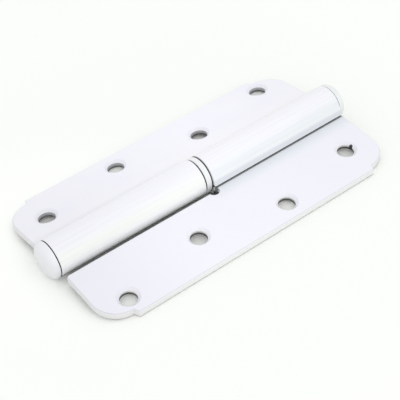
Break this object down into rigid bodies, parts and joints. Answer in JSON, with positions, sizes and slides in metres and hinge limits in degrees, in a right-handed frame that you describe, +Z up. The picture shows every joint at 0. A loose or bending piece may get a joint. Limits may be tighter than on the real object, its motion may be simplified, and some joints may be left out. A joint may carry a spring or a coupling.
{
  "type": "surface mount hinge",
  "caption": "Surface mount hinge: flat leaves with rolled knuckles on a domed pin, a bearing ring between them and zigzag screw holes; one leaf swings and lifts off the pin.",
  "frame": {"origin": "on the floor under the middle of the barrel, as the hinge lies open", "axes": "+X along the pin towards the end plug, +Y across the rear leaf, +Z up out of the screwed side"},
  "size_m": [0.1175, 0.0634, 0.0125],
  "materials": {
    "leaf_coating": "satin",
    "pin_coating": "gloss",
    "ring_coating": "gloss"
  },
  "bodies": {
    "rear": {"leaf_rear": "leaf_coating", "hinge_pin": "pin_coating"},
    "ring": {"bearing_ring": "ring_coating"},
    "front": {"leaf_front": "leaf_coating", "end_plug": "pin_coating"}
  },
  "joints": [
    {"name": "swing", "type": "hinge", "parent": "rear", "child": "ring", "pos_m": [0, 0, 0.00625], "axis": [-1, 0, 0], "range_deg": [-120, 191.7]},
    {"name": "lift", "type": "slide", "parent": "ring", "child": "front", "axis": [1, 0, 0], "range_m": [0, 0.048]}
  ]
}
